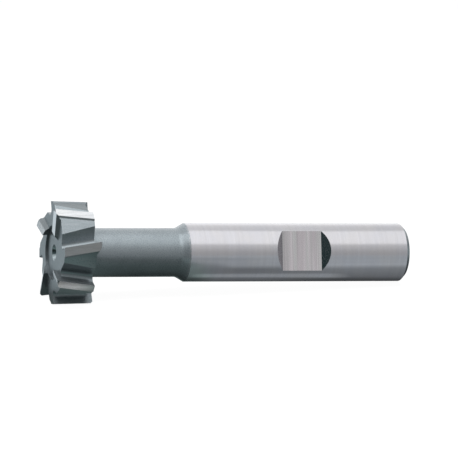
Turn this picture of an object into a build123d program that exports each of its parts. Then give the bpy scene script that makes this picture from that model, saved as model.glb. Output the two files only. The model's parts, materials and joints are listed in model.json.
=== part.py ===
from build123d import *
import os
from math import atan, atan2, cos, degrees, radians, sin, sqrt, tan

# T-slot milling cutter with staggered teeth, for T-slots of 12 mm
# One solid of high-speed steel: toothed head, neck, cone and plain shank with a clamping flat
# All lengths are in millimetres, all angles in degrees
# The tool is modelled upright on its own axis and then laid down as it comes to rest

# Cutting head
head_d = 21.0
head_w = 9.0
tooth_pairs = 4
slant_deg = 8.8
first_tooth_deg = -8.6
corner_chamfer = 0.4

# Tooth and gullet, seen along the axis
rake_deg = 10.5
land_w = 1.8
land_relief_deg = 10.0
step_h = 0.45
step_deg = 30.0
heel_deg = 33.5
heel_reach = 0.8
root_d = 15.7
gullet_r = 1.1
gullet_deg = 56.0

# End faces of the head
end_set_back = 1.1
end_land_w = 1.35
end_relief_deg = 12.0
end_drop_deg = 38.0
dish_deg = 2.0
hub_d = 11.0
hub_depth = 0.45
neck_ring_w = 1.0

# Neck and cone
neck_d = 10.0
neck_root_r = 0.5
cone_deg = 30.0
cone_root_r = 2.0

# Shank
overall_l = 76.3
shank_d = 12.0
shank_l = 47.5
rear_chamfer = 0.8

# Clamping flat on the shank
flat_depth = 1.6
flat_l = 8.4
flat_from_rear = 23.3
flat_wall_deg = 45.0
flat_turn_deg = 85.5

# Centre holes in both ends
centre_bore_d = 1.6
centre_mouth_d = 3.35
centre_mouth_deg = 60.0
centre_depth = 3.6

# Sizes that follow from those above
head_r = head_d / 2
neck_r = neck_d / 2
shank_r = shank_d / 2
pair_deg = 360 / tooth_pairs
pitch_deg = pair_deg / 2
beyond = head_d
slant = tan(radians(slant_deg))
edge_shift = head_w / 2 * slant
edge_r = sqrt(head_r**2 - edge_shift**2)
blank_r = edge_r + land_w
neck_from = head_w - end_set_back
hub_floor = end_set_back + hub_depth
cone_to = overall_l - shank_l
cone_from = cone_to - (shank_r - neck_r) / tan(radians(cone_deg))

# Directions in the plane across the axis, where X runs out through the cutting edge of a tooth
# and the tool turns towards -Y, so that the rake face looks towards -Y
rake = radians(rake_deg)
rake_in = Vector(-cos(rake), sin(rake))
rake_back = Vector(sin(rake), cos(rake))
edge = Vector(edge_r, 0)

# Rake face: its length down to the sharp corner that the root radius then rounds,
# so that the rounded root comes down to root_d
root_turn = root_d / 2 + gullet_r
edge_to_turn_sq = edge_r**2 - 2 * edge_r * gullet_r * sin(rake) + gullet_r**2
rake_run = edge_r * cos(rake) - sqrt((edge_r * cos(rake)) ** 2 - edge_to_turn_sq + root_turn**2)
corner = edge + rake_in * (rake_run + gullet_r / tan(radians(gullet_deg) / 2))
wall_out = Vector(cos(rake + radians(gullet_deg)), -sin(rake + radians(gullet_deg)))

# Back of a tooth: relieved land, small step and flat heel that runs into the next gullet
land_end = edge + Vector(-sin(radians(land_relief_deg)), cos(radians(land_relief_deg))) * land_w
step_end = land_end + Vector(-cos(radians(step_deg)), sin(radians(step_deg))) * step_h
heel_way = Vector(-sin(radians(heel_deg)), cos(radians(heel_deg)))
heel_end_deg = heel_reach * pitch_deg
heel_tan = tan(radians(heel_end_deg))
heel_run = (step_end.X * heel_tan - step_end.Y) / (heel_way.Y - heel_way.X * heel_tan)
heel_end = step_end + heel_way * heel_run
heel_out = Vector(cos(radians(heel_end_deg)), sin(radians(heel_end_deg))) * beyond
edge_out = edge - rake_in * beyond

# Teeth one, three, five and seven lean one way and cut at the rear face of the head,
# teeth two, four, six and eight lean the other way and cut at the front face
mid_head = Plane.XY.offset(head_w / 2)
forward_lean = Vector(0, slant, 1)
rear_cut_deg = first_tooth_deg
front_cut_deg = first_tooth_deg + pitch_deg

# Gullet before a front-cutting tooth, milled straight along its leaning edge
with BuildPart() as front_gullet:
    with BuildSketch(mid_head) as gullet_profile:
        with BuildLine():
            Polyline(corner, corner - rake_in * beyond, corner + wall_out * beyond, close=True)
        make_face()
        fillet(gullet_profile.vertices().sort_by_distance(corner)[:1], gullet_r)
    extrude(amount=head_w, dir=forward_lean, both=True)

# Relief behind the edge of a front-cutting tooth, along the same lean
with BuildPart() as front_relief:
    with BuildSketch(mid_head):
        with BuildLine():
            Polyline(edge, land_end, step_end, heel_end, heel_out, edge_out, close=True)
        make_face()
    extrude(amount=head_w, dir=forward_lean, both=True)

# Pocket in the front face, from the side edge of one front-cutting tooth to the next:
# its plan runs between two side edges, and its section is the relieved side land, the drop
# behind it and the floor
tip = edge - Vector(0, edge_shift)
hub_point = tip - rake_in * tip.dot(rake_in)
next_hub_point = hub_point.rotate(Axis.Z, pair_deg)
tip_out = tip - rake_in * beyond
next_tip_out = tip_out.rotate(Axis.Z, pair_deg)
middle_out = Vector(beyond * 2, 0).rotate(Axis.Z, pair_deg / 2)
next_lean = forward_lean.rotate(Axis.Z, pair_deg)
dish = radians(dish_deg)
side_edge_in = Vector(rake_in.X * cos(dish), rake_in.Y * cos(dish), sin(dish))
land_fall = end_land_w * tan(radians(end_relief_deg))
floor_fall = end_set_back * 2
drop_w = (floor_fall - land_fall) / tan(radians(end_drop_deg))
with BuildPart() as front_pocket:
    with BuildSketch(Plane.XY):
        with BuildLine():
            Polyline(
                hub_point - rake_back * end_set_back,
                tip_out - rake_back * end_set_back,
                middle_out,
                next_tip_out,
                next_hub_point,
                close=True,
            )
        make_face()
    extrude(amount=end_set_back / cos(radians(slant_deg)), dir=next_lean)
    with BuildSketch(Plane(origin=tip, x_dir=rake_back, z_dir=side_edge_in)):
        with BuildLine():
            Polyline(
                (0, 0),
                (end_land_w, -land_fall),
                (end_land_w + drop_w, -floor_fall),
                (beyond * 3, -floor_fall),
                (beyond * 3, end_set_back),
                (0, end_set_back),
                close=True,
            )
        make_face()
    extrude(amount=beyond * 2, both=True, mode=Mode.INTERSECT)

# The rear-cutting teeth are the mirror image about the middle of the head
with BuildPart() as rear_gullet:
    mirror(front_gullet.part, about=mid_head)
with BuildPart() as rear_relief:
    mirror(front_relief.part, about=mid_head)
with BuildPart() as rear_pocket:
    mirror(front_pocket.part, about=mid_head)

# The whole tool on its axis, +Z from the front face of the head towards the shank
with BuildPart() as upright:
    # Head, with the staggered teeth cut out of a plain disc, whose sloping rims leave the
    # chamfer on the corner of each tooth
    Cylinder(blank_r, head_w, align=(Align.CENTER, Align.CENTER, Align.MIN))
    chamfer(upright.edges().filter_by(GeomType.CIRCLE), blank_r - head_r + corner_chamfer)
    with PolarLocations(0, tooth_pairs, start_angle=front_cut_deg):
        add(front_gullet.part, mode=Mode.SUBTRACT)
        add(front_relief.part, mode=Mode.SUBTRACT)
        add(front_pocket.part, mode=Mode.SUBTRACT)
    with PolarLocations(0, tooth_pairs, start_angle=rear_cut_deg):
        add(rear_gullet.part, mode=Mode.SUBTRACT)
        add(rear_relief.part, mode=Mode.SUBTRACT)
        add(rear_pocket.part, mode=Mode.SUBTRACT)

    # Hub recess in the front face, and the ring around the neck in the rear face
    Cylinder(
        hub_d / 2,
        hub_floor,
        align=(Align.CENTER, Align.CENTER, Align.MIN),
        mode=Mode.SUBTRACT,
    )
    with Locations((0, 0, neck_from)):
        Cylinder(
            neck_r + neck_ring_w,
            end_set_back,
            align=(Align.CENTER, Align.CENTER, Align.MIN),
            mode=Mode.SUBTRACT,
        )

    # Neck, cone and shank in one turned profile
    with BuildSketch(Plane.XZ) as stem_profile:
        with BuildLine():
            Polyline(
                (0, head_w / 2),
                (neck_r + neck_root_r * 1.5, head_w / 2),
                (neck_r + neck_root_r * 1.5, neck_from),
                (neck_r, neck_from),
                (neck_r, cone_from),
                (shank_r, cone_to),
                (shank_r, overall_l - rear_chamfer),
                (shank_r - rear_chamfer, overall_l),
                (0, overall_l),
                close=True,
            )
        make_face()
        fillet(stem_profile.vertices().sort_by_distance((neck_r, neck_from))[:1], neck_root_r)
        fillet(stem_profile.vertices().sort_by_distance((neck_r, cone_from))[:1], cone_root_r)
    revolve(axis=Axis.Z)

    # Clamping flat: a trapezoid cut straight across the shank
    flat_at = overall_l - flat_from_rear
    flat_h = shank_r - flat_depth
    wall_run = 2 * flat_depth / tan(radians(flat_wall_deg))
    flat_x = Vector(0, 0, 1)
    flat_z = Vector(0, 1, 0).rotate(Axis.Z, flat_turn_deg)
    with BuildSketch(Plane(origin=(0, 0, flat_at), x_dir=flat_x, z_dir=flat_z)):
        with BuildLine():
            Polyline(
                (-flat_l / 2, flat_h),
                (flat_l / 2, flat_h),
                (flat_l / 2 + wall_run, flat_h + 2 * flat_depth),
                (-flat_l / 2 - wall_run, flat_h + 2 * flat_depth),
                close=True,
            )
        make_face()
    extrude(amount=shank_r, both=True, mode=Mode.SUBTRACT)

    # Centre holes, front and rear
    front_hole = Location(Plane(origin=(0, 0, hub_floor), z_dir=(0, 0, -1)))
    rear_hole = Location(Plane.XY.offset(overall_l))
    with Locations(front_hole, rear_hole):
        CounterSinkHole(centre_bore_d / 2, centre_mouth_d / 2, centre_depth, centre_mouth_deg)

# The way it comes to rest: the head stands on two neighbouring teeth, a rear-cutting and a
# front-cutting one, and the shank touches down with its rear rim. The edges of the two teeth
# come closest together at the front of the head.
low_pair = tooth_pairs // 2
rear_cut_low = rear_cut_deg + low_pair * pair_deg
front_cut_low = front_cut_deg + low_pair * pair_deg


def edge_point(tooth_deg, lean, z):
    """Angle and radius of a cutting edge at the height z above the front face"""
    off = lean * slant * (z - head_w / 2)
    return tooth_deg + degrees(atan2(off, edge_r)), sqrt(edge_r**2 + off**2), z


low_points = [
    edge_point(rear_cut_low, -1, end_set_back),
    edge_point(rear_cut_low, -1, head_w - corner_chamfer),
    edge_point(front_cut_low, 1, corner_chamfer),
    edge_point(front_cut_low, 1, neck_from),
]
down_deg = (low_points[0][0] + low_points[2][0]) / 2
rim_z = overall_l - rear_chamfer
tilts = [
    atan((r * cos(radians(at_deg - down_deg)) - shank_r) / (rim_z - z)) for at_deg, r, z in low_points
]
tilt = max(tilts)

# The plane that lays the tool down: its axis along +X, sloping down to the rear rim, and
# the side with the clamping flat towards -Y
up = radians(down_deg - 180)
axis_dir = Vector(cos(tilt), 0, -sin(tilt))
zero_dir = Vector(cos(up) * sin(tilt), sin(up), cos(up) * cos(tilt))
at_origin = Plane(origin=(0, 0, 0), x_dir=zero_dir, z_dir=axis_dir)
box = (at_origin.location * upright.part).bounding_box()
lying = Plane(
    origin=(-box.center().X, -box.center().Y, -box.min.Z),
    x_dir=zero_dir,
    z_dir=axis_dir,
)
with BuildPart(lying) as t_slot_cutter:
    add(upright.part)
t_slot_cutter.part.label = "t_slot_cutter"

os.makedirs("parts", exist_ok=True)
export_step(t_slot_cutter.part, "parts/t_slot_cutter.step")

laid = t_slot_cutter.part.bounding_box()
print("Size", round(laid.size.X, 3), round(laid.size.Y, 3), round(laid.size.Z, 3))
print("Tilt", round(degrees(tilt), 3), "down", round(down_deg, 3))
print("Front of the axis", lying.origin)
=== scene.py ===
"""Looks of a T-slot cutter: ground steel shank, steam-tempered head and neck, plain studio"""
import json
import math

import bmesh
import bpy
from bpy.props import FloatProperty, FloatVectorProperty, PointerProperty
from mathutils import Euler, Matrix, Vector


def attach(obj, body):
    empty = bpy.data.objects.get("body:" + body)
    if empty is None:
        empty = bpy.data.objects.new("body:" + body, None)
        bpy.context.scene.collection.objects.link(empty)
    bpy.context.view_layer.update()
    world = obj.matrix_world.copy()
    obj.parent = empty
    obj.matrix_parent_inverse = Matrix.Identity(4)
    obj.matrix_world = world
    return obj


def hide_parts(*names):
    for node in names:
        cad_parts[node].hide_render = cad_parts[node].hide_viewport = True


bl_info = {
    "name": "T-slot cutter",
    "version": (1, 0, 0),
    "blender": (4, 5, 0),
    "location": "3D View > Sidebar > T-slot cutter",
    "description": "Finishes a T-slot milling cutter and sets a pale studio around it",
    "category": "Object",
}

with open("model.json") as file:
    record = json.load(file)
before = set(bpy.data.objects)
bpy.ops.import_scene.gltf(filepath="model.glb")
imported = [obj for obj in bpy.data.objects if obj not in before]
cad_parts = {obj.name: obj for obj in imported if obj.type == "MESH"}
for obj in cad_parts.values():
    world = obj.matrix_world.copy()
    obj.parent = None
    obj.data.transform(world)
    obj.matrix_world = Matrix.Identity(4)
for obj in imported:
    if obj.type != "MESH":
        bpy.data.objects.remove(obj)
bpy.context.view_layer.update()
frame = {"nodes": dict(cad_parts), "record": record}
mounts = {mount["name"]: mount for mount in frame["record"]["mounts"]}
shank_mount = mounts["shank"]

# The tool's own axes: Z along the tool from the front face to the shank, X towards zero degrees
AXIS = Vector(shank_mount["axis"]).normalized()
FLAT_OUT = Vector(mounts["clamping_flat"]["axis"]).normalized()
FLAT_TURN = math.radians(85.5)
ZERO = Matrix.Rotation(-FLAT_TURN, 3, AXIS) @ (FLAT_OUT - AXIS * FLAT_OUT.dot(AXIS)).normalized()
TURN = Matrix((ZERO, AXIS.cross(ZERO), AXIS)).transposed()

# Lengths along the tool, in metres; the shank's mount lies at the middle of the plain shank
MM = 0.001
SHANK_LENGTH = shank_mount["dims"]["length_mm"] * MM
SHANK_FROM = 0.0288
REAR_CHAMFER = 0.0008
OVERALL = SHANK_FROM + SHANK_LENGTH + REAR_CHAMFER
FRONT = Vector(shank_mount["pos_m"]) - AXIS * (SHANK_FROM + SHANK_LENGTH / 2)

WHITE = (1.0, 1.0, 1.0)


# Sizes and colours that a user would change
class ToolForm(bpy.types.PropertyGroup):
    """Sizes of the tool that its finishes follow"""

    front: FloatVectorProperty(
        name="Front centre",
        description="Where the tool's axis meets the plane of the front face",
        subtype="XYZ",
        default=FRONT[:],
    )
    turn: FloatVectorProperty(
        name="Turn of the tool",
        description="Turn from the upright tool to the tool as it lies",
        subtype="EULER",
        default=TURN.to_euler()[:],
    )
    head_width: FloatProperty(
        name="Head width", description="Width of the toothed head", unit="LENGTH", default=0.009
    )
    head_radius: FloatProperty(
        name="Head radius", description="Radius of the cutting edges", unit="LENGTH", default=0.0105
    )
    land_from: FloatProperty(
        name="Lands from radius",
        description="Least radius of the ground lands on the head's outside",
        unit="LENGTH",
        default=0.0098,
    )
    hub_radius: FloatProperty(
        name="Hub radius",
        description="Radius of the recess in the front face",
        unit="LENGTH",
        default=0.0055,
    )
    side_land_depth: FloatProperty(
        name="Side land depth",
        description="How far a side land falls behind its edge",
        unit="LENGTH",
        default=0.00045,
    )
    shank_from: FloatProperty(
        name="Shank from",
        description="Distance from the front face to the shank",
        unit="LENGTH",
        default=SHANK_FROM,
    )
    shank_radius: FloatProperty(
        name="Shank radius",
        description="Radius of the ground shank",
        unit="LENGTH",
        default=shank_mount["dims"]["r_mm"] * MM,
    )
    overall: FloatProperty(
        name="Overall length", description="Length of the tool", unit="LENGTH", default=OVERALL
    )
    bore_mouth: FloatProperty(
        name="Centre hole mouth",
        description="Radius of the mouth of each centre hole",
        unit="LENGTH",
        default=0.0017,
    )


class SteelFinish(bpy.types.PropertyGroup):
    """Colours and roughness of the tool's finishes"""

    ground: FloatVectorProperty(
        name="Ground steel",
        description="Colour of the bright ground shank",
        subtype="COLOR",
        default=(0.592, 0.587, 0.612),
    )
    land: FloatVectorProperty(
        name="Ground lands",
        description="Colour of the tool-ground lands of the teeth",
        subtype="COLOR",
        default=(0.355, 0.375, 0.38),
    )
    side_land: FloatVectorProperty(
        name="Side lands",
        description="Colour of the lands on the side faces of the head",
        subtype="COLOR",
        default=(0.73, 0.74, 0.75),
    )
    flat: FloatVectorProperty(
        name="Milled flat",
        description="Colour of the clamping flat",
        subtype="COLOR",
        default=(0.79, 0.768, 0.79),
    )
    centre_hole: FloatVectorProperty(
        name="Centre holes",
        description="Colour of the bare steel in the centre holes",
        subtype="COLOR",
        default=(0.39, 0.45, 0.47),
    )
    oxide: FloatVectorProperty(
        name="Steam oxide",
        description="Colour of the blue-grey oxide on the head and neck",
        subtype="COLOR",
        default=(0.15, 0.17, 0.183),
    )
    oxide_pale: FloatVectorProperty(
        name="Thin oxide",
        description="Colour of the oxide where it is thinner",
        subtype="COLOR",
        default=(0.175, 0.198, 0.213),
    )
    oxide_sheen: FloatVectorProperty(
        name="Oxide sheen",
        description="Tint of what the oxide mirrors",
        subtype="COLOR",
        default=(0.82, 0.97, 1.03),
    )
    oxide_index: FloatProperty(
        name="Oxide index", description="Refractive index of the oxide", default=2.4, min=1.3, max=3.0
    )
    ground_rough: FloatProperty(
        name="Ground roughness", description="Roughness of ground steel", subtype="FACTOR", default=0.24
    )
    oxide_rough: FloatProperty(
        name="Oxide roughness", description="Roughness of the oxide", subtype="FACTOR", default=0.42
    )
    lines: FloatProperty(
        name="Grinding lines",
        description="Grinding lines to a millimetre of length",
        default=7.0,
        min=0.5,
        max=40.0,
    )


class StudioForm(bpy.types.PropertyGroup):
    """Camera, floor and lights"""

    camera: FloatVectorProperty(
        name="Camera place",
        description="Place of the camera",
        subtype="XYZ",
        default=(-0.203308, -0.658805, 0.183609),
    )
    camera_turn: FloatVectorProperty(
        name="Camera turn",
        description="Turn of the camera",
        subtype="EULER",
        default=tuple(math.radians(v) for v in (76.1216, -1.2305, -16.8839)),
    )
    lens: FloatProperty(name="Lens", description="Focal length in millimetres", default=272.0, min=20)
    floor: FloatVectorProperty(
        name="Floor", description="Colour of the floor", subtype="COLOR", default=(0.86, 0.86, 0.86)
    )
    box_light: FloatProperty(
        name="Soft box", description="Power of the long soft box overhead", unit="POWER", default=1.15
    )
    key_light: FloatProperty(
        name="Key light",
        description="Power of the light that only dull surfaces show",
        unit="POWER",
        default=1.8,
    )
    near_light: FloatProperty(
        name="Near light",
        description="Power of the light close over the head",
        unit="POWER",
        default=0.028,
    )
    ambient: FloatProperty(
        name="Room light", description="Strength of the even light of the room", default=0.1, min=0
    )
    # Painted shade: the floor lights the tool from below in this colour, far darker than the floor
    # itself
    floor_bounce: FloatVectorProperty(
        name="Floor bounce",
        description="Colour of the floor as it lights the tool from below",
        subtype="COLOR",
        default=(0.09, 0.10, 0.10),
    )
    # Painted reflection: the next four tints colour the floor only as the steel mirrors it
    floor_tint: FloatVectorProperty(
        name="Mirrored floor",
        description="Tint of the floor before the shank as the steel mirrors it",
        subtype="COLOR",
        default=(0.91, 0.975, 1.015),
    )
    head_tint: FloatVectorProperty(
        name="Mirrored floor at the head",
        description="Tint of the floor before the head and neck as the oxide mirrors it",
        subtype="COLOR",
        default=(0.78, 0.99, 0.95),
    )
    glow_tint: FloatVectorProperty(
        name="Glow tint",
        description="Tint of the glow before the head",
        subtype="COLOR",
        default=(1.0, 0.98, 0.97),
    )
    back_tint: FloatVectorProperty(
        name="Mirrored back",
        description="Tint of the floor behind the tool as the steel mirrors it",
        subtype="COLOR",
        default=(0.88, 0.98, 1.03),
    )
    dark_tint: FloatVectorProperty(
        name="Dark end of the room",
        description="Tint of the dark ends of the room as the steel mirrors them",
        subtype="COLOR",
        default=(0.66, 1.36, 1.4),
    )
    # Painted highlights: these glows brighten strips of floor only as the steel mirrors them
    shank_glow: FloatProperty(
        name="Glow below the shank",
        description="Brightness of the strip of floor below the shank, as the steel mirrors it",
        default=0.40,
        min=0,
        max=1,
    )
    head_glow: FloatProperty(
        name="Glow before the head",
        description="Brightness of the floor before the head, as the steel mirrors it",
        default=0.75,
        min=0,
        max=1,
    )


# Small helpers for node trees
def add_node(tree, kind, name="", **values):
    """A new node with its label and its properties"""
    node = tree.nodes.new(kind)
    node.label = name
    for key, value in values.items():
        setattr(node, key, value)
    return node


def feed(tree, node, sources):
    """Fill a node's inputs, by name or number, each with a value or with another node's output"""
    for key, source in sources.items():
        if isinstance(source, bpy.types.NodeSocket):
            tree.links.new(source, node.inputs[key])
        else:
            node.inputs[key].default_value = source
    return node


def maths(tree, operation, *values, clamp=False):
    """A Math node's result"""
    node = add_node(tree, "ShaderNodeMath", operation=operation, use_clamp=clamp)
    return feed(tree, node, dict(enumerate(values))).outputs[0]


def times(tree, first, *others):
    """The product of several values"""
    for other in others:
        first = maths(tree, "MULTIPLY", first, other)
    return first


def plus_share(tree, start, value, share):
    """A start plus a share of a value"""
    return maths(tree, "MULTIPLY_ADD", value, share, start)


def vector_maths(tree, operation, *values):
    """A Vector Math node"""
    node = add_node(tree, "ShaderNodeVectorMath", operation=operation)
    return feed(tree, node, dict(enumerate(values)))


def dot(tree, first, second):
    """How far one vector runs along another"""
    return vector_maths(tree, "DOT_PRODUCT", first, second).outputs["Value"]


def split(tree, vector):
    """The three parts of a vector"""
    return feed(tree, add_node(tree, "ShaderNodeSeparateXYZ"), {"Vector": vector}).outputs


def ramp(tree, value, none, full):
    """Zero up to one place and one past another, smooth between; the second may be the lower one"""
    node = add_node(tree, "ShaderNodeMapRange", interpolation_type="SMOOTHSTEP")
    return feed(tree, node, {"Value": value, "From Min": none, "From Max": full}).outputs["Result"]


def band(tree, value, rise, fall):
    """One between two soft edges, each given as where it is zero and where it is full"""
    return times(tree, ramp(tree, value, *rise), ramp(tree, value, *fall))


def profile(tree, value, stops):
    """A level that runs straight from stop to stop, each a place and its level, in rising order"""
    low, high = stops[0][0], stops[-1][0]
    spot = feed(
        tree, add_node(tree, "ShaderNodeMapRange"), {"Value": value, "From Min": low, "From Max": high}
    )
    node = add_node(tree, "ShaderNodeValToRGB")
    tree.links.new(spot.outputs["Result"], node.inputs[0])
    elements = node.color_ramp.elements
    for end, (_, level) in enumerate((stops[0], stops[-1])):
        elements[end].color = (level, level, level, 1.0)
    for place, level in stops[1:-1]:
        elements.new((place - low) / (high - low)).color = (level, level, level, 1.0)
    return node.outputs[0]


def noise(tree, vector, scale, detail, roughness=0.5):
    """A noise value"""
    node = add_node(tree, "ShaderNodeTexNoise")
    feed(tree, node, {"Vector": vector, "Scale": scale, "Detail": detail, "Roughness": roughness})
    return node.outputs["Fac"]


def with_alpha(colour):
    """A colour as a socket takes it; another node's output stays as it is"""
    return colour if isinstance(colour, bpy.types.NodeSocket) else tuple(colour)[:3] + (1.0,)


def mix_colour(tree, factor, first, second, blend="MIX"):
    """A mix of two colours"""
    node = add_node(tree, "ShaderNodeMix", data_type="RGBA", blend_type=blend)
    return feed(tree, node, {0: factor, 6: with_alpha(first), 7: with_alpha(second)}).outputs[2]


def mix_value(tree, factor, first, second):
    """A mix of two numbers"""
    node = add_node(tree, "ShaderNodeMix", data_type="FLOAT")
    return feed(tree, node, {0: factor, 2: first, 3: second}).outputs[0]


def new_group(name, inputs, outputs, kind="ShaderNodeTree"):
    """A node group with named sockets, and its input and output nodes"""
    group = bpy.data.node_groups.new(name, kind)
    for way, sockets in (("INPUT", inputs), ("OUTPUT", outputs)):
        for label, socket_kind, default in sockets:
            kind_name = "NodeSocket" + socket_kind
            socket = group.interface.new_socket(name=label, in_out=way, socket_type=kind_name)
            if default is not None and way == "INPUT":
                socket.default_value = default
    return group, group.nodes.new("NodeGroupInput"), group.nodes.new("NodeGroupOutput")


def place_group(tree, group, values):
    """The outputs of a shader group placed in a material"""
    return feed(tree, add_node(tree, "ShaderNodeGroup", node_tree=group), values).outputs


# Shader groups that several finishes share. Most of a noise lies in this spread, which is drawn out to
# run from zero to one.
NOISE_SPREAD = (0.3, 0.7)


def make_tool_place(form):
    """Object coordinates turned into the tool's own axes, in millimetres"""
    outputs = [("Place", "Vector", None), ("Radius", "Float", None)]
    group, _, out = new_group("Tool place", [], outputs)
    spot = add_node(group, "ShaderNodeTexCoord").outputs["Object"]
    turned = add_node(group, "ShaderNodeMapping", vector_type="TEXTURE")
    values = {"Vector": spot, "Location": form.front[:], "Rotation": form.turn[:], "Scale": (MM, MM, MM)}
    place = feed(group, turned, values).outputs[0]
    parts = split(group, place)
    across = feed(group, add_node(group, "ShaderNodeCombineXYZ"), {"X": parts[0], "Y": parts[1]})
    radius = vector_maths(group, "LENGTH", across.outputs[0]).outputs["Value"]
    feed(group, out, {"Place": place, "Radius": radius})
    return group


def make_grinding():
    """Fine lines that run round the tool and change along it, as a grinding wheel leaves them"""
    broad_stretch, fine_share = (0.6, 0.6, 0.16), 0.65
    inputs = [("Place", "Vector", None), ("Lines", "Float", 7.0), ("Round", "Float", 0.12)]
    outputs = [("Height", "Float", None), ("Shade", "Float", None)]
    group, node, out = new_group("Grinding lines", inputs, outputs)
    given = node.outputs
    scales = {"X": given["Round"], "Y": given["Round"], "Z": given["Lines"]}
    stretch = feed(group, add_node(group, "ShaderNodeCombineXYZ"), scales).outputs[0]
    drawn = vector_maths(group, "MULTIPLY", given["Place"], stretch).outputs[0]
    broad_place = vector_maths(group, "MULTIPLY", drawn, broad_stretch).outputs[0]
    fine = noise(group, drawn, scale=1.0, detail=3.0, roughness=0.65)
    broad = noise(group, broad_place, scale=1.0, detail=2.0)
    both = mix_value(group, fine_share, broad, fine)
    feed(group, out, {"Height": both, "Shade": ramp(group, both, *NOISE_SPREAD)})
    return group


def make_mottle():
    """Soft cloudy patches and fine specks, as an oxide film or handling leaves them"""
    speck_spread = (0.35, 0.7)
    inputs = [("Place", "Vector", None), ("Patch", "Float", 0.35), ("Grain", "Float", 6.0)]
    outputs = [("Cloud", "Float", None), ("Specks", "Float", None)]
    group, node, out = new_group("Mottling", inputs, outputs)
    given = node.outputs
    cloud = noise(group, given["Place"], given["Patch"], detail=4.0, roughness=0.6)
    specks = noise(group, given["Place"], given["Grain"], detail=3.0, roughness=0.7)
    shown = {"Cloud": ramp(group, cloud, *NOISE_SPREAD), "Specks": ramp(group, specks, *speck_spread)}
    feed(group, out, shown)
    return group


def make_edge_wear():
    """How rubbed the steel is: most at the cutting edges and at the rims of the turned parts"""
    break_scale, break_spread = 1.7, (0.35, 0.62)
    inputs = [("Radius", "Float", None), ("Place", "Vector", None)]
    inputs += [("Outer", "Float", 10.5), ("Reach", "Float", 0.35)]
    group, node, out = new_group("Edge wear", inputs, [("Wear", "Float", None)])
    given = node.outputs
    inner = maths(group, "SUBTRACT", given["Outer"], given["Reach"])
    rim = ramp(group, given["Radius"], inner, given["Outer"])
    broken = ramp(group, noise(group, given["Place"], break_scale, detail=3.0), *break_spread)
    feed(group, out, {"Wear": maths(group, "MULTIPLY", rim, broken, clamp=True)})
    return group


# Bright steel: tints of its clouds, how the specks and lines change its roughness, and its palest line
CLOUD_TINTS = ((0.97, 0.98, 1.0), (1.0, 0.995, 0.985))
GROUND_MOTTLE = {"Patch": 0.22, "Grain": 4.0}
GROUND_SPECKS = 0.06
LINE_POLISH = -0.05
BRIGHT_LINE = 1.05

# The milled flat's broad bands, faintly green and faintly red
FLAT_BANDS = ((0.98, 1.03, 1.0), (1.06, 0.99, 1.03))
BAND_LINES = {"Lines": 0.5, "Round": 0.02}

# Oxide: its clouds and specks, how thin it is on the turning lines, and how bare where it is most rubbed
OXIDE_MOTTLE = {"Patch": 0.4, "Grain": 7.0}
OXIDE_SPECKS = 0.1
THIN_ON_LINES = 0.25
RUBBED = 0.5

# Height of the lines on every finish, in metres
BUMP_DEPTH = 0.00002


def start_material(name):
    """A new material, its tree and its Principled shader"""
    material = bpy.data.materials.new(name)
    material.use_nodes = True
    return material, material.node_tree, material.node_tree.nodes["Principled BSDF"]


def bump(tree, height, strength):
    """A normal that follows a height"""
    values = {"Height": height, "Strength": strength, "Distance": BUMP_DEPTH}
    return feed(tree, add_node(tree, "ShaderNodeBump"), values).outputs[0]


def speckled(tree, specks, rough, spread):
    """A roughness that changes about its mean in fine specks"""
    return plus_share(tree, rough - spread / 2, specks, spread)


def ground_finish(name, groups, colour, rough, lines, around, relief, dark=0.95, bands=None):
    """Bright steel with grinding lines and small changes of gloss, in faint clouds or broad bands"""
    material, tree, shader = start_material(name)
    place = place_group(tree, groups["place"], {})["Place"]
    grind = place_group(tree, groups["grind"], {"Place": place, "Lines": lines, "Round": around})
    mottle = place_group(tree, groups["mottle"], {"Place": place, **GROUND_MOTTLE})
    dark_line, bright_line = [v * dark for v in colour], [min(v * BRIGHT_LINE, 1) for v in colour]
    lined = mix_colour(tree, grind["Shade"], dark_line, bright_line)
    if bands:
        broad = place_group(tree, groups["grind"], {"Place": place, **BAND_LINES})
        tint = mix_colour(tree, broad["Shade"], *bands)
    else:
        tint = mix_colour(tree, mottle["Cloud"], *CLOUD_TINTS)
    roughness = speckled(tree, mottle["Specks"], rough, GROUND_SPECKS)
    look = {
        "Base Color": mix_colour(tree, 1.0, lined, tint, "MULTIPLY"),
        "Roughness": plus_share(tree, roughness, grind["Shade"], LINE_POLISH),
        "Metallic": 1.0,
        "Normal": bump(tree, grind["Height"], relief),
    }
    feed(tree, shader, look)
    return material


def oxide_finish(name, groups, finish, edge, rough, lines, around, relief, tone, index, streak=0.0):
    """Blue-grey steam oxide with turning marks, clouds, and bare steel where it is rubbed or streaked"""
    material, tree, shader = start_material(name)
    spot = place_group(tree, groups["place"], {})
    place = spot["Place"]
    grind = place_group(tree, groups["grind"], {"Place": place, "Lines": lines, "Round": around})
    mottle = place_group(tree, groups["mottle"], {"Place": place, **OXIDE_MOTTLE})
    wear = place_group(tree, groups["wear"], {"Place": place, "Radius": spot["Radius"], "Outer": edge})
    thick, thin = [v * tone for v in finish.oxide], [v * tone for v in finish.oxide_pale]
    film = mix_colour(tree, mottle["Cloud"], thick, thin)
    film = mix_colour(tree, times(tree, grind["Shade"], THIN_ON_LINES), film, thin)
    bare = times(tree, wear["Wear"], RUBBED)
    if streak:
        drawn = times(tree, maths(tree, "POWER", grind["Shade"], 2.0), streak)
        bare = maths(tree, "MAXIMUM", bare, drawn)
    look = {
        "Base Color": mix_colour(tree, bare, film, finish.ground),
        "Roughness": speckled(tree, mottle["Specks"], rough, OXIDE_SPECKS),
        "Metallic": bare,
        "IOR": index,
        "Specular Tint": with_alpha(finish.oxide_sheen),
        "Normal": bump(tree, grind["Height"], relief),
    }
    feed(tree, shader, look)
    return material


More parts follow.
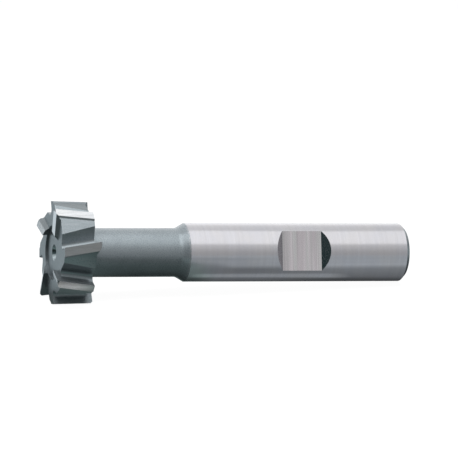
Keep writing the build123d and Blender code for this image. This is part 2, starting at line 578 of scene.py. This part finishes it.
def make_ground_finishes(groups, finish):
    """The bright finishes: shank, lands, side lands, flat and centre holes"""
    rough, lines = finish.ground_rough, finish.lines
    return {
        "Ground shank": ground_finish(
            "ground_shank", groups, finish.ground, rough, lines=lines, around=0.1, relief=0.22, dark=0.97
        ),
        "Ground land": ground_finish(
            "ground_land", groups, finish.land, rough, lines=0.35, around=3.0, relief=0.5, dark=0.88
        ),
        "Side land": ground_finish(
            "side_land", groups, finish.side_land, rough, lines=lines, around=0.5, relief=0.3
        ),
        "Milled flat": ground_finish(
            "milled_flat",
            groups,
            finish.flat,
            rough + 0.06,
            lines=lines * 0.26,
            around=0.03,
            relief=0.6,
            dark=0.66,
            bands=FLAT_BANDS,
        ),
        "Centre hole": ground_finish(
            "centre_hole", groups, finish.centre_hole, rough - 0.02, lines=6.0, around=0.4, relief=0.3
        ),
    }


def make_oxide_finishes(groups, form, finish):
    """The oxide on the head, drawn along the teeth, and on the neck, turned round it"""
    rough, index = finish.oxide_rough, finish.oxide_index
    return {
        "Head oxide": oxide_finish(
            "head_oxide",
            groups,
            finish,
            edge=form.head_radius / MM,
            rough=rough - 0.1,
            lines=0.3,
            around=2.4,
            relief=0.35,
            tone=0.36,
            index=index + 0.05,
            streak=0.12,
        ),
        "Neck oxide": oxide_finish(
            "neck_oxide",
            groups,
            finish,
            edge=form.shank_radius / MM + 0.02,
            rough=rough - 0.12,
            lines=5.0,
            around=0.4,
            relief=0.3,
            tone=1.05,
            index=index - 0.3,
        ),
    }


def make_finishes(form, finish):
    """All the finishes of the tool, by name"""
    groups = {
        "place": make_tool_place(form),
        "grind": make_grinding(),
        "mottle": make_mottle(),
        "wear": make_edge_wear(),
    }
    return {**make_ground_finishes(groups, finish), **make_oxide_finishes(groups, form, finish)}


# Geometry Nodes: the finish of each face, by the rule of its place on the tool
FACE_SIZES = (
    ("Head Width", "head_width"),
    ("Lands From", "land_from"),
    ("Hub Radius", "hub_radius"),
    ("Side Land Depth", "side_land_depth"),
    ("Shank From", "shank_from"),
    ("Shank Radius", "shank_radius"),
    ("Overall", "overall"),
    ("Bore Mouth", "bore_mouth"),
)

# How squarely a face looks out from the axis, along it or with the flat, as a cosine
LAND_FACES_OUT = 0.967
SIDE_LAND_FACES_END = 0.93
REAR_FACES_END = 0.6
FLAT_FACES = 0.9

# Room for the rule's limits, in metres, and how deep below the shank's round the flat starts
PAST_HEAD = 0.0001
BEFORE_SHANK = 0.0002
REAR_REACH = 0.002
BORE_REACH = 0.006
BELOW_ROUND = 0.985

SHARP_EDGE = math.radians(25)


def compare(tree, first, second, operation):
    """True where the first is above or below the second"""
    node = add_node(tree, "FunctionNodeCompare", data_type="FLOAT", operation=operation)
    return feed(tree, node, {0: first, 1: second}).outputs[0]


def above(tree, first, second):
    """True where the first is above the second"""
    return compare(tree, first, second, "GREATER_THAN")


def below(tree, first, second):
    """True where the first is below the second"""
    return compare(tree, first, second, "LESS_THAN")


def every(tree, first, *others):
    """True where all the tests are true"""
    for other in others:
        node = add_node(tree, "FunctionNodeBooleanMath", operation="AND")
        first = feed(tree, node, {0: first, 1: other}).outputs[0]
    return first


def off_middle(tree, along, length):
    """Distance from the middle of a length, and half that length"""
    half = times(tree, length, 0.5)
    return maths(tree, "ABSOLUTE", maths(tree, "SUBTRACT", along, half)), half


def measure_faces(tree, size):
    """Where each face lies along and out from the tool's axis, and how squarely it looks each way"""
    position = add_node(tree, "GeometryNodeInputPosition").outputs[0]
    normal = add_node(tree, "GeometryNodeInputNormal").outputs[0]
    here = vector_maths(tree, "SUBTRACT", position, size["Front"]).outputs[0]
    along = dot(tree, here, size["Axis"])
    on_axis = feed(tree, vector_maths(tree, "SCALE", size["Axis"]), {"Scale": along}).outputs[0]
    outward = vector_maths(tree, "SUBTRACT", here, on_axis).outputs[0]
    return {
        "along": along,
        "radius": vector_maths(tree, "LENGTH", outward).outputs["Value"],
        "out": dot(tree, normal, vector_maths(tree, "NORMALIZE", outward).outputs[0]),
        "end": maths(tree, "ABSOLUTE", dot(tree, normal, size["Axis"])),
        "flat": dot(tree, normal, size["Flat Out"]),
    }


def choose_faces(tree, size, face):
    """The faces of each finish; a later line takes its faces from the lines before it"""
    along, radius = face["along"], face["radius"]
    off_head, half_head = off_middle(tree, along, size["Head Width"])
    off_tool, half_tool = off_middle(tree, along, size["Overall"])
    side_from = maths(tree, "SUBTRACT", half_head, size["Side Land Depth"])
    rear_from = maths(tree, "SUBTRACT", size["Overall"], REAR_REACH)
    in_shank = times(tree, size["Shank Radius"], BELOW_ROUND)
    on_head = below(tree, along, maths(tree, "ADD", size["Head Width"], PAST_HEAD))
    on_shank = above(tree, along, maths(tree, "SUBTRACT", size["Shank From"], BEFORE_SHANK))
    near_ends = above(tree, off_tool, maths(tree, "SUBTRACT", half_tool, BORE_REACH))
    on_rear = every(tree, above(tree, along, rear_from), above(tree, face["end"], REAR_FACES_END))
    on_land = every(
        tree, on_head, above(tree, radius, size["Lands From"]), above(tree, face["out"], LAND_FACES_OUT)
    )
    on_side_land = every(
        tree,
        on_head,
        above(tree, radius, size["Hub Radius"]),
        above(tree, off_head, side_from),
        above(tree, face["end"], SIDE_LAND_FACES_END),
    )
    on_flat = every(
        tree,
        on_shank,
        above(tree, face["flat"], FLAT_FACES),
        below(tree, radius, in_shank),
        below(tree, along, rear_from),
    )
    in_bore = every(tree, near_ends, below(tree, radius, size["Bore Mouth"]))
    return [
        ("Neck oxide", None),
        ("Head oxide", on_head),
        ("Ground land", on_land),
        ("Side land", on_side_land),
        ("Ground shank", on_shank),
        ("Neck oxide", on_rear),
        ("Milled flat", on_flat),
        ("Centre hole", in_bore),
    ]


def smooth_rounds(tree, geometry):
    """Shade the round faces smooth and keep the sharp edges sharp"""
    angle = add_node(tree, "GeometryNodeInputMeshEdgeAngle").outputs[0]
    edges = add_node(tree, "GeometryNodeSetShadeSmooth", domain="EDGE")
    sharp = {"Geometry": geometry, "Selection": above(tree, angle, SHARP_EDGE), "Shade Smooth": False}
    feed(tree, edges, sharp)
    faces = add_node(tree, "GeometryNodeSetShadeSmooth", domain="FACE")
    return feed(tree, faces, {"Geometry": edges.outputs[0], "Shade Smooth": True}).outputs[0]


def make_face_rule(finishes):
    """Geometry Nodes tree that gives every face its finish and smooths the round ones"""
    inputs = [("Geometry", "Geometry", None)]
    inputs += [(label, "Vector", None) for label in ("Front", "Axis", "Flat Out")]
    inputs += [(label, "Float", 0.0) for label, _ in FACE_SIZES]
    inputs += [(label, "Material", None) for label in finishes]
    outputs = [("Geometry", "Geometry", None)]
    tree, given, out = new_group("Finish by face", inputs, outputs, "GeometryNodeTree")
    size = given.outputs
    smooth = smooth_rounds(tree, size["Geometry"])
    flow = feed(tree, add_node(tree, "GeometryNodeRealizeInstances"), {0: smooth}).outputs[0]
    for label, chosen in choose_faces(tree, size, measure_faces(tree, size)):
        values = {"Geometry": flow, "Material": size[label]}
        if chosen is not None:
            values["Selection"] = chosen
        flow = feed(tree, add_node(tree, "GeometryNodeSetMaterial", label), values).outputs[0]
    feed(tree, out, {"Geometry": flow})
    return tree


# The piece
MERGE_WITHIN = 1e-6


def merged_copy(source, name):
    """A copy of a CAD node's mesh, in the shared frame, with its loose triangles joined"""
    mesh = source.data.copy()
    mesh.name = name
    mesh.transform(source.matrix_world)
    work = bmesh.new()
    work.from_mesh(mesh)
    bmesh.ops.remove_doubles(work, verts=work.verts, dist=MERGE_WITHIN)
    work.to_mesh(mesh)
    work.free()
    mesh.materials.clear()
    return mesh


def apply_tree(context, piece, tree, values):
    """Run a Geometry Nodes tree on a piece and keep what it makes as a plain mesh"""
    modifier = piece.modifiers.new(tree.name, "NODES")
    modifier.node_group = tree
    for item in tree.interface.items_tree:
        if item.item_type == "SOCKET" and item.in_out == "INPUT" and item.name in values:
            modifier[item.identifier] = values[item.name]
    context.view_layer.update()
    graph = context.evaluated_depsgraph_get()
    made = bpy.data.meshes.new_from_object(piece.evaluated_get(graph), depsgraph=graph)
    made.name = piece.name
    piece.modifiers.remove(modifier)
    piece.data = made


class CUTTER_OT_finish_cutter(bpy.types.Operator):
    """Give the cutter its ground, milled and steam-tempered surfaces"""

    bl_idname = "cutter.finish_cutter"
    bl_label = "Finish the cutter"

    def execute(self, context):
        form, finish = context.scene.cutter_form, context.scene.cutter_finish
        mesh = merged_copy(frame["nodes"]["t_slot_cutter"], "cutter")
        piece = bpy.data.objects.new("cutter", mesh)
        context.scene.collection.objects.link(piece)
        finishes = make_finishes(form, finish)
        values = {"Front": form.front[:], "Axis": AXIS[:], "Flat Out": FLAT_OUT[:], **finishes}
        values.update({label: getattr(form, key) for label, key in FACE_SIZES})
        apply_tree(context, piece, make_face_rule(finishes), values)
        if len(piece.data.materials) < len(finishes):
            raise RuntimeError("The face rule left out a finish")
        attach(piece, "root")
        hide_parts("t_slot_cutter")
        return {"FINISHED"}


# The floor as the steel mirrors it is a painted reflection: for mirrored rays it glows at these levels,
# with painted shade and painted bright strips. Along runs from the head's end, which is negative, to the
# rear end.
# Away runs from before the tool, which is negative, to behind it. Both are in metres. A profile lists
# places with their levels, and an edge gives where a soft change is zero and where it is full.
# Behind the tool: its level by place along, the edge where it starts, and the painted shade behind the
# head.
BACK_ALONG = ((-0.4, 0.03), (-0.2, 0.05), (-0.12, 1.0), (0.12, 1.0), (0.4, 0.4))
BACK_EDGE = (0.0, 0.008)
BACK_EDGE_AT_HEAD = -0.006
AT_HEAD_EDGE = (-0.015, -0.03)
BACK_LEVEL = 0.8
BACK_SHADE = -0.6
BACK_SHADE_ALONG = ((-0.039, -0.035), (-0.01, -0.02))
BACK_SHADE_EDGE = (0.026, 0.016)

# Before the tool: the level by distance, and how it changes before the shank, the rear end, the neck and
# the head, and to the left of the head, in painted highlights and painted shade
FRONT_AWAY = (
    (-0.1, 0.5),
    (-0.023, 0.43),
    (-0.015, 0.33),
    (-0.010, 0.25),
    (-0.0065, 0.235),
    (-0.0024, 0.2),
    (-0.001, 0.14),
    (0.0, 0.12),
)
SHANK_EDGE = (-0.001, 0.003)
SHANK_AWAY = (
    (-0.1, 0.8),
    (-0.045, 0.86),
    (-0.03, 0.98),
    (-0.018, 1.2),
    (-0.0135, 1.45),
    (-0.0108, 1.1),
    (-0.0092, 0.9),
    (-0.0075, 0.95),
    (0.0, 1.0),
)
REAR_EDGE = (0.004, 0.026)
REAR_AWAY = (
    (-0.1, 1.36),
    (-0.035, 1.24),
    (-0.024, 1.15),
    (-0.0165, 1.13),
    (-0.0128, 1.35),
    (-0.0105, 1.5),
    (-0.0088, 1.38),
    (-0.004, 1.0),
    (-0.0025, 0.5),
    (0.0, 0.5),
)
NECK_ALONG = ((-0.026, -0.018), (-0.002, -0.0075))
NECK_SHADE_AWAY = ((-0.1, 0.6), (-0.02, 0.6), (-0.012, 0.0), (-0.006, 0.0), (-0.0025, 0.5), (0.0, 0.5))
HEAD_EDGE = (-0.022, -0.028)
HEAD_LIFT = 0.45
LEFT_OF_HEAD = (-0.045, -0.052)
BEFORE_HEAD = (-0.003, -0.007)
FAR_LEFT_SHADE = -0.95

# Painted highlights: bright strips on the floor, one below the shank and one before the head
SHANK_STRIP_AWAY = ((-0.0071, 0.0), (-0.0055, 1.0), (-0.0038, 1.0), (-0.0022, 0.0))
SHANK_STRIP_ALONG = ((-0.012, -0.004), (0.034, 0.02))
HEAD_STRIP_AWAY = (
    (-0.017, 0.0),
    (-0.0115, 0.4),
    (-0.0107, 0.35),
    (-0.0103, 1.6),
    (-0.0099, 1.7),
    (-0.0096, 0.7),
    (-0.0085, 0.6),
    (-0.005, 0.0),
)
HEAD_STRIP_ALONG = ((-0.0395, -0.0375), (-0.025, -0.0345))
HEAD_GLOW_AWAY = ((-0.013, -0.0115), (-0.007, -0.0085))

# Where the floor's tint changes from the head's to the shank's, and from before the tool to behind it
SHANK_TINT_EDGE = (-0.0075, -0.001)
BACK_TINT_EDGE = (0.0, 0.01)

# The floor as the camera sees it: its glow, and the share of it over the shaded floor
CAMERA_GLOW = 1.10
CAMERA_GLOW_SHARE = 0.88

# The room as the steel mirrors it, by the direction of view: across it from left to right and through
# it from front to back. Its back left is pale. Last are the levels where the dark tint starts and is
# full.
ROOM_ACROSS = (
    (-1.0, 0.03),
    (-0.7, 0.04),
    (-0.58, 0.5),
    (-0.45, 1.0),
    (0.345, 1.0),
    (0.39, 0.84),
    (0.65, 0.9),
    (0.85, 0.45),
    (1.0, 0.4),
)
ROOM_DEPTH = (
    (-1.0, 0.45),
    (-0.95, 0.485),
    (-0.89, 0.575),
    (-0.82, 0.70),
    (-0.68, 0.82),
    (0.15, 0.84),
    (0.30, 0.85),
    (0.42, 0.93),
    (0.66, 0.97),
    (0.785, 1.03),
    (1.0, 1.35),
)
TO_THE_LEFT = (0.1, -0.1)
TO_THE_BACK = (-0.1, 0.3)
DARK_END_LEVELS = (0.3, 0.06)

# Soft boxes: place, the point that each one faces, and its two sides, in metres
SOFT_BOX = ((0, -0.13, 0.45), (0, -0.13, 0), (1.4, 0.585))
KEY_LIGHT = ((-0.02, -0.095, 0.45), (-0.02, 0, 0), (0.4, 0.26))
NEAR_LIGHT = ((-0.036, -0.03, 0.09), (-0.036, -0.03, 0), (0.07, 0.094))
NEAR_LIGHT_COLOUR = (1, 0.93, 0.93)

# Half the floor's side in metres, the camera's sensor in millimetres and its clip distances in metres
FLOOR_HALF = 4.0
SENSOR_WIDTH = 36.0
CLIP = (0.01, 50.0)


def patch(tree, along, away, edges, stops):
    """A patch of floor with soft ends along the tool and a profile away from it"""
    return times(tree, band(tree, along, *edges), profile(tree, away, stops))


def past_edge(tree, along, away, edge, stops):
    """A factor that follows a profile past an edge along the tool, and is one before it"""
    return mix_value(tree, ramp(tree, along, *edge), 1.0, profile(tree, away, stops))


def back_level(tree, along, away):
    """Painted level of the floor behind the tool, with a painted shade behind the head and neck"""
    edge = plus_share(tree, away, ramp(tree, along, *AT_HEAD_EDGE), BACK_EDGE_AT_HEAD)
    shade = times(tree, band(tree, along, *BACK_SHADE_ALONG), ramp(tree, away, *BACK_SHADE_EDGE))
    level = plus_share(tree, BACK_LEVEL, shade, BACK_SHADE)
    return times(tree, ramp(tree, edge, *BACK_EDGE), profile(tree, along, BACK_ALONG), level)


def front_level(tree, along, away):
    """Painted level of the floor before the tool, changed before each part into painted highlights and
    shade
    """
    shank = past_edge(tree, along, away, SHANK_EDGE, SHANK_AWAY)
    rear = past_edge(tree, along, away, REAR_EDGE, REAR_AWAY)
    neck = maths(tree, "SUBTRACT", 1.0, patch(tree, along, away, NECK_ALONG, NECK_SHADE_AWAY))
    head = plus_share(tree, 1.0, ramp(tree, along, *HEAD_EDGE), HEAD_LIFT)
    far_left = times(tree, ramp(tree, along, *LEFT_OF_HEAD), ramp(tree, away, *BEFORE_HEAD))
    left = plus_share(tree, 1.0, far_left, FAR_LEFT_SHADE)
    return times(tree, profile(tree, away, FRONT_AWAY), rear, shank, neck, left, head)


def strip_level(tree, along, away, studio):
    """Level of the two painted bright strips on the floor"""
    shank = times(tree, patch(tree, along, away, SHANK_STRIP_ALONG, SHANK_STRIP_AWAY), studio.shank_glow)
    head = times(tree, patch(tree, along, away, HEAD_STRIP_ALONG, HEAD_STRIP_AWAY), studio.head_glow)
    return maths(tree, "MAXIMUM", shank, head)


def mirrored_tint(tree, along, away, studio):
    """Tint of the floor's painted reflection: before the head, before the shank, in the glow and behind
    """
    tint = mix_colour(tree, ramp(tree, along, *SHANK_TINT_EDGE), studio.head_tint, studio.floor_tint)
    glow = times(tree, band(tree, along, *HEAD_STRIP_ALONG), band(tree, away, *HEAD_GLOW_AWAY))
    tint = mix_colour(tree, glow, tint, studio.glow_tint)
    return mix_colour(tree, ramp(tree, away, *BACK_TINT_EDGE), tint, studio.back_tint)


def floor_material(studio):
    """Pale floor: white for the camera with a faint shadow, and a painted, shaded reflection for the
    steel
    """
    material, tree, shader = start_material("pale_floor")
    tree.nodes.remove(shader)
    ray = add_node(tree, "ShaderNodeLightPath").outputs
    camera, mirrored = ray["Is Camera Ray"], ray["Is Glossy Ray"]
    along, away, _ = split(tree, add_node(tree, "ShaderNodeTexCoord").outputs["Object"])
    # The levels that mirrored rays see are painted shade and painted highlights on the floor
    level = maths(tree, "MAXIMUM", back_level(tree, along, away), front_level(tree, along, away))
    level = maths(tree, "MAXIMUM", level, strip_level(tree, along, away, studio))
    shown = {
        "Color": mix_colour(tree, mirrored, WHITE, mirrored_tint(tree, along, away, studio)),
        "Strength": mix_value(tree, mirrored, CAMERA_GLOW, level),
    }
    glow = feed(tree, add_node(tree, "ShaderNodeEmission"), shown)
    # Diffuse rays meet the dark floor bounce colour, not the floor's own: painted shade on the tool's
    # underside
    colour = mix_colour(tree, camera, studio.floor_bounce, studio.floor)
    matt = feed(tree, add_node(tree, "ShaderNodeBsdfDiffuse"), {"Color": colour})
    share = plus_share(tree, mirrored, camera, CAMERA_GLOW_SHARE)
    both = add_node(tree, "ShaderNodeMixShader")
    feed(tree, both, {0: share, 1: matt.outputs[0], 2: glow.outputs[0]})
    feed(tree, tree.nodes["Material Output"], {"Surface": both.outputs[0]})
    return material


def set_room(studio):
    """World: white for the camera, an even room for the light, and a shaded room for the steel"""
    world = bpy.data.worlds.new("room")
    world.use_nodes = True
    tree = world.node_tree
    ray = add_node(tree, "ShaderNodeLightPath").outputs
    across, depth, _ = split(tree, add_node(tree, "ShaderNodeTexCoord").outputs["Generated"])
    back_left = times(tree, ramp(tree, across, *TO_THE_LEFT), ramp(tree, depth, *TO_THE_BACK))
    level = maths(tree, "MAXIMUM", profile(tree, across, ROOM_ACROSS), back_left)
    shown = times(tree, profile(tree, depth, ROOM_DEPTH), level)
    shown = mix_colour(tree, ramp(tree, level, *DARK_END_LEVELS), shown, studio.dark_tint, "MULTIPLY")
    lit = mix_colour(tree, ray["Is Glossy Ray"], [studio.ambient] * 3, shown)
    seen = mix_colour(tree, ray["Is Camera Ray"], lit, WHITE)
    feed(tree, tree.nodes["Background"], {"Color": seen, "Strength": 1.0})
    bpy.context.scene.world = world


def add_soft_box(name, setting, power, colour=WHITE):
    """A soft box that faces a point"""
    place, aim, sides = setting
    lamp = bpy.data.lights.new(name, "AREA")
    lamp.shape = "RECTANGLE"
    lamp.size, lamp.size_y = sides
    lamp.energy = power
    lamp.color = colour
    box = bpy.data.objects.new(name, lamp)
    bpy.context.scene.collection.objects.link(box)
    box.location = place
    box.rotation_euler = (Vector(aim) - Vector(place)).to_track_quat("-Z", "Y").to_euler()
    box.visible_camera = False
    return box


def add_floor(studio):
    """A wide floor under the tool"""
    mesh = bpy.data.meshes.new("floor")
    work = bmesh.new()
    bmesh.ops.create_grid(work, x_segments=1, y_segments=1, size=FLOOR_HALF)
    work.to_mesh(mesh)
    work.free()
    mesh.materials.append(floor_material(studio))
    floor = bpy.data.objects.new("floor", mesh)
    bpy.context.scene.collection.objects.link(floor)


def add_camera(studio):
    """The camera, with its place, turn and lens"""
    eye = bpy.data.cameras.new("camera")
    eye.sensor_width = SENSOR_WIDTH
    eye.lens = studio.lens
    eye.clip_start, eye.clip_end = CLIP
    camera = bpy.data.objects.new("camera", eye)
    bpy.context.scene.collection.objects.link(camera)
    camera.location = studio.camera
    camera.rotation_euler = Euler(studio.camera_turn)
    bpy.context.scene.camera = camera


class CUTTER_OT_set_studio(bpy.types.Operator):
    """Set the floor, the lights and the camera"""

    bl_idname = "cutter.set_studio"
    bl_label = "Set the studio"

    def execute(self, context):
        studio = context.scene.cutter_studio
        add_floor(studio)
        set_room(studio)
        add_soft_box("soft_box", SOFT_BOX, studio.box_light)
        key = add_soft_box("key_light", KEY_LIGHT, studio.key_light)
        key.visible_glossy = False
        add_soft_box("near_light", NEAR_LIGHT, studio.near_light, NEAR_LIGHT_COLOUR)
        add_camera(studio)
        context.scene.view_settings.view_transform = "Standard"
        return {"FINISHED"}


class CUTTER_PT_panel(bpy.types.Panel):
    """Lists the steps and their sizes in the sidebar"""

    bl_label = "T-slot cutter"
    bl_idname = "CUTTER_PT_panel"
    bl_space_type = "VIEW_3D"
    bl_region_type = "UI"
    bl_category = "T-slot cutter"

    def draw(self, context):
        for operator, group in (
            (CUTTER_OT_finish_cutter, context.scene.cutter_form),
            (None, context.scene.cutter_finish),
            (CUTTER_OT_set_studio, context.scene.cutter_studio),
        ):
            box = self.layout.box()
            if operator:
                box.operator(operator.bl_idname)
            for key in group.__annotations__:
                box.prop(group, key)


GROUPS = (("cutter_form", ToolForm), ("cutter_finish", SteelFinish), ("cutter_studio", StudioForm))
CLASSES = (CUTTER_OT_finish_cutter, CUTTER_OT_set_studio, CUTTER_PT_panel)


def register():
    """Add the settings and the steps"""
    for name, group in GROUPS:
        bpy.utils.register_class(group)
        setattr(bpy.types.Scene, name, PointerProperty(type=group))
    for each in CLASSES:
        bpy.utils.register_class(each)


def unregister():
    """Take the steps and the settings away"""
    for each in reversed(CLASSES):
        bpy.utils.unregister_class(each)
    for name, group in reversed(GROUPS):
        delattr(bpy.types.Scene, name)
        bpy.utils.unregister_class(group)


def main():
    """Finish the cutter and set the studio"""
    register()
    bpy.ops.cutter.finish_cutter()
    bpy.ops.cutter.set_studio()


if __name__ == "__main__":
    main()
